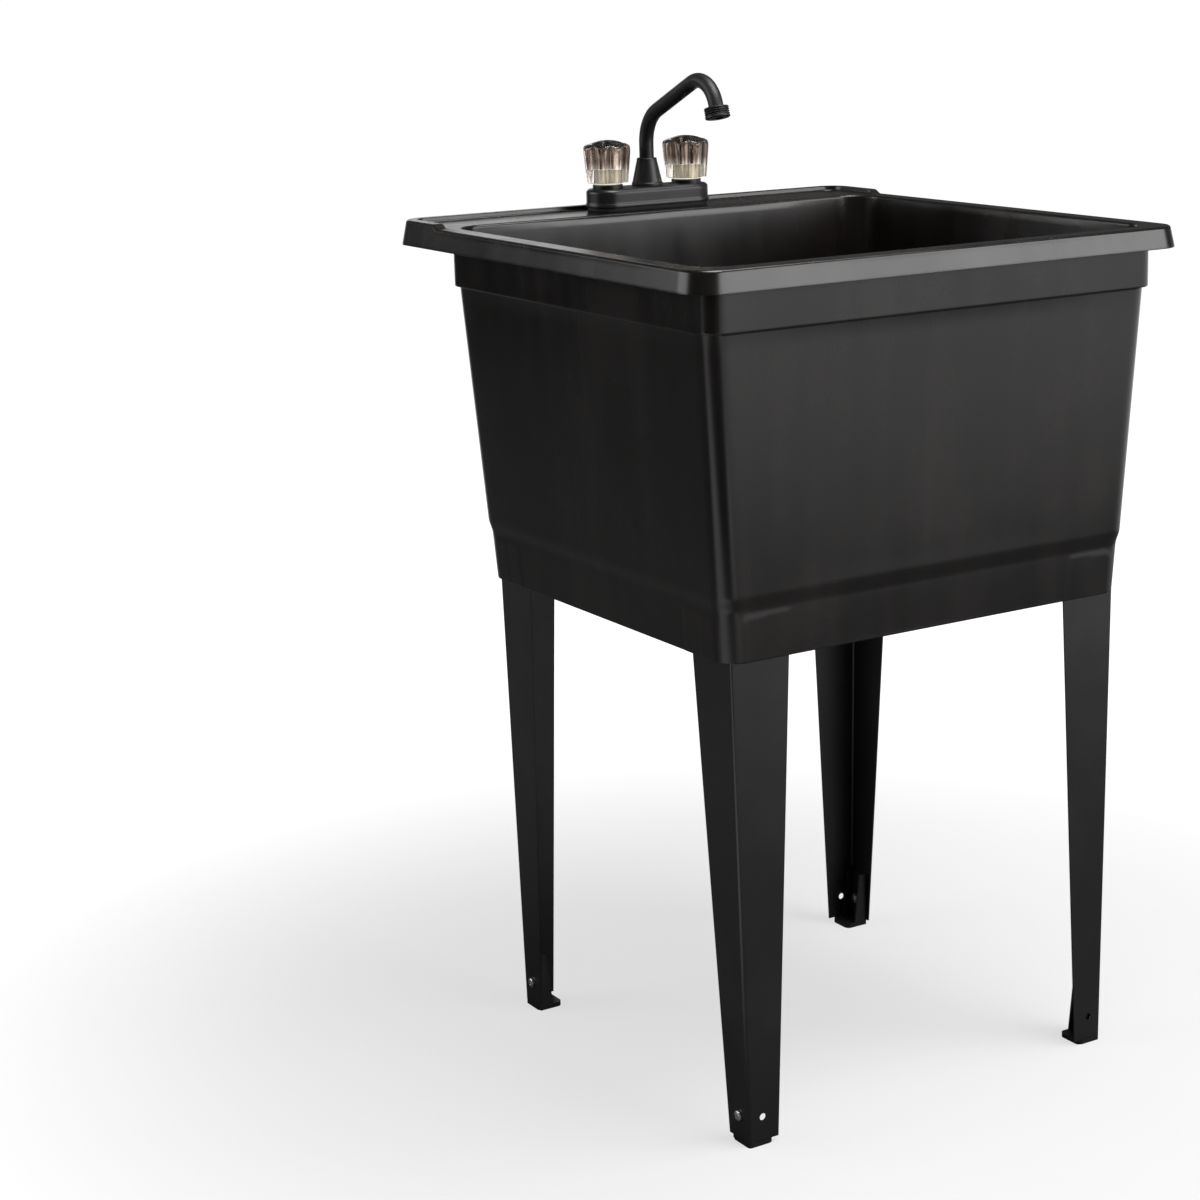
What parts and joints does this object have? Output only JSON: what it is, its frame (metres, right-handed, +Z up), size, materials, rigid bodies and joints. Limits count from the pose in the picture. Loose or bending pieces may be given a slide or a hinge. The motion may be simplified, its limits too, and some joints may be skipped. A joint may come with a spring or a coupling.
{
  "type": "utility laundry sink",
  "caption": "Free-standing laundry sink: deep tapered tub on splayed angle legs, with a two-knob swing-spout tap and a strainer drain.",
  "frame": {"origin": "on the floor, under the middle of the rim's outline", "axes": "+Z up, -Y the front where a person stands, +Y the tap deck, +X to the right of a person facing the sink"},
  "size_m": [0.581, 0.597, 1.0133],
  "materials": {
    "tub_plastic": "satin black moulded thermoplastic",
    "leg_coat": "satin black powder coat on steel",
    "foot_plastic": "matte black moulded plastic",
    "zinc": "bright zinc plate",
    "stainless": "polished stainless steel",
    "rubber": "matte black rubber",
    "fibre_washer": "pale friction washer",
    "drain_plastic": "black moulded plastic",
    "tap_gasket": "matte black deck gasket",
    "tap_black": "satin black moulded body",
    "spout_black": "satin black coated tube",
    "locknut_plastic": "pale moulded plastic",
    "brass": "machined brass",
    "insert_cream": "cream moulded insert",
    "knob_acrylic": "clear smoke-brown acrylic"
  },
  "bodies": {
    "root": {"tub": "tub_plastic", "foot_screws": "zinc", "foot_nuts": "zinc", "drain_flange": "stainless", "drain_gasket": "rubber", "drain_washer": "fibre_washer", "drain_locknut": "drain_plastic", "tailpiece_washer": "fibre_washer", "tailpiece": "drain_plastic", "slip_nut": "drain_plastic", "tap_gasket": "tap_gasket", "tap_body": "tap_black", "shank_washers": "zinc", "shank_locknuts": "locknut_plastic", "spout_nut": "tap_black", "spout_ring": "rubber", "leg_front_left": "leg_coat", "leg_front_right": "leg_coat", "leg_back_left": "leg_coat", "leg_back_right": "leg_coat", "hot_shank": "brass", "hot_collar": "tap_black", "cold_shank": "brass", "cold_collar": "tap_black"},
    "hot_handle": {"hot_knob": "knob_acrylic", "hot_knob_insert": "insert_cream", "hot_stem": "brass", "hot_knob_screw": "zinc", "hot_knob_cap": "knob_acrylic"},
    "cold_handle": {"cold_knob": "knob_acrylic", "cold_knob_insert": "insert_cream", "cold_stem": "brass", "cold_knob_screw": "zinc", "cold_knob_cap": "knob_acrylic"},
    "swing_spout": {"spout": "spout_black", "hose_outlet": "spout_black"},
    "stopper": {"drain_stopper": "rubber"},
    "foot_front_left": {"foot_front_left": "foot_plastic"},
    "foot_front_right": {"foot_front_right": "foot_plastic"},
    "foot_back_left": {"foot_back_left": "foot_plastic"},
    "foot_back_right": {"foot_back_right": "foot_plastic"}
  },
  "joints": [
    {"name": "hot_knob_turn", "type": "hinge", "parent": "root", "child": "hot_handle", "pos_m": [-0.0508, 0.251, 0.8885], "axis": [0, 0, 1], "range_deg": [0, 180]},
    {"name": "cold_knob_turn", "type": "hinge", "parent": "root", "child": "cold_handle", "pos_m": [0.0508, 0.251, 0.8885], "axis": [0, 0, 1], "range_deg": [-180, 0]},
    {"name": "spout_swivel", "type": "hinge", "parent": "root", "child": "swing_spout", "pos_m": [0, 0.251, 0.8885], "axis": [0, 0, 1], "continuous": true},
    {"name": "stopper_lift", "type": "slide", "parent": "root", "child": "stopper", "axis": [0, 0, 1], "range_m": [0, 0.06]},
    {"name": "level_front_left", "type": "slide", "parent": "root", "child": "foot_front_left", "axis": [0.0208, -0.002, -0.9998], "range_m": [0, 0.012]},
    {"name": "level_front_right", "type": "slide", "parent": "root", "child": "foot_front_right", "axis": [-0.0208, -0.002, -0.9998], "range_m": [0, 0.012]},
    {"name": "level_back_left", "type": "slide", "parent": "root", "child": "foot_back_left", "axis": [0.0208, -0.0033, -0.9998], "range_m": [0, 0.012]},
    {"name": "level_back_right", "type": "slide", "parent": "root", "child": "foot_back_right", "axis": [-0.0208, -0.0033, -0.9998], "range_m": [0, 0.012]}
  ]
}
